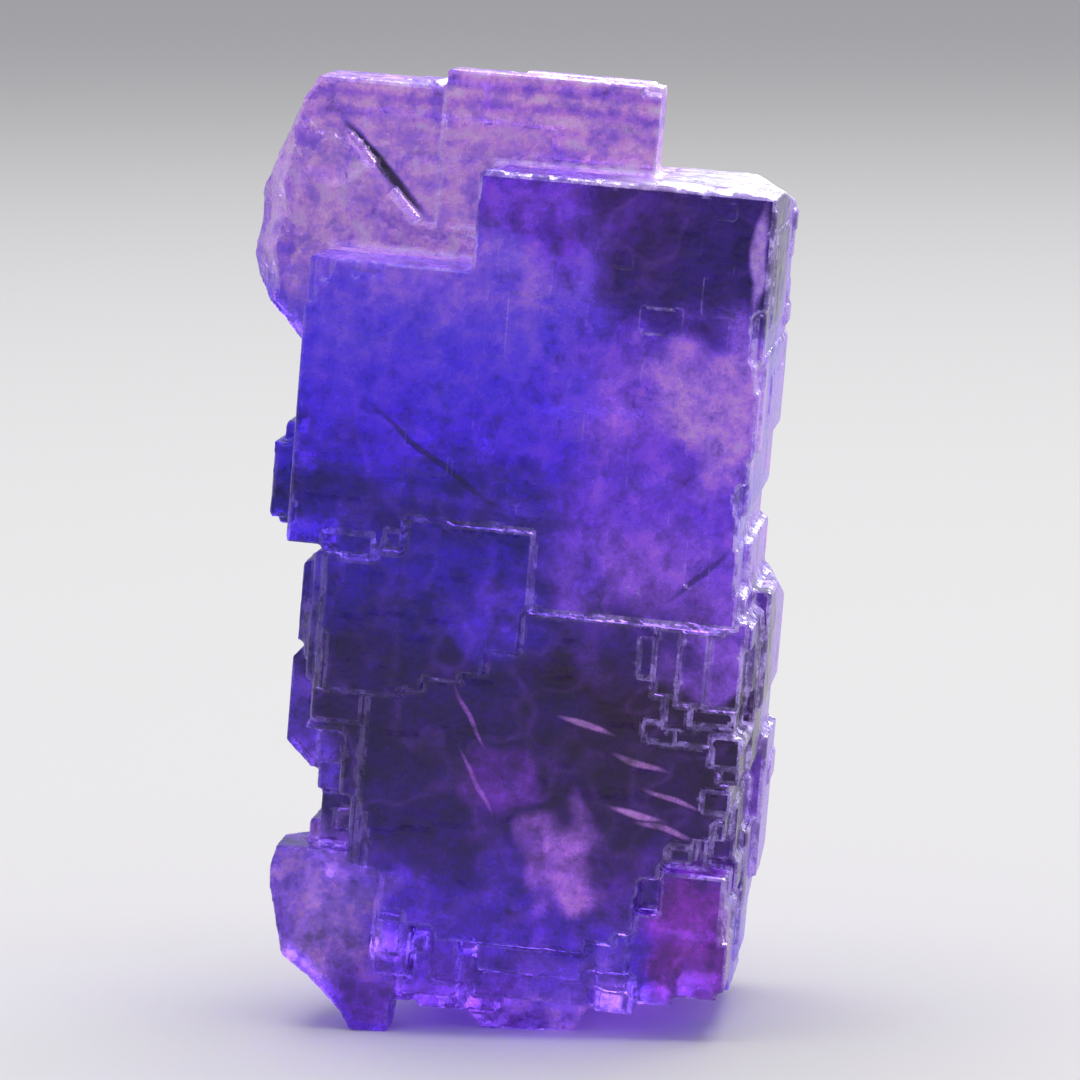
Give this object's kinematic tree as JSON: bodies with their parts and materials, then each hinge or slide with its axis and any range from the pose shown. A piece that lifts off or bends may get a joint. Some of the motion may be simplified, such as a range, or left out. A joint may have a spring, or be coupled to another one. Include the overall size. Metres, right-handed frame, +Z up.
{
  "type": "fluorite crystal group",
  "caption": "Standing group of stepped cubic crystals grown together, with a flat front face, a thinner crystal behind the top and a cleaved spur at the lower left.",
  "frame": {"origin": "on the standing surface, under the middle of the group's bounding box", "axes": "+Z up, +X to the right of the broad front face, +Y from the front face to the back; the group leans about five degrees to +X"},
  "size_m": [0.0528, 0.0364, 0.0928],
  "materials": {
    "crystal": "natural crystal faces, zoned violet and blue, satin with frosted edges"
  },
  "bodies": {
    "root": {"fluorite_crystal": "crystal"}
  },
  "joints": []
}
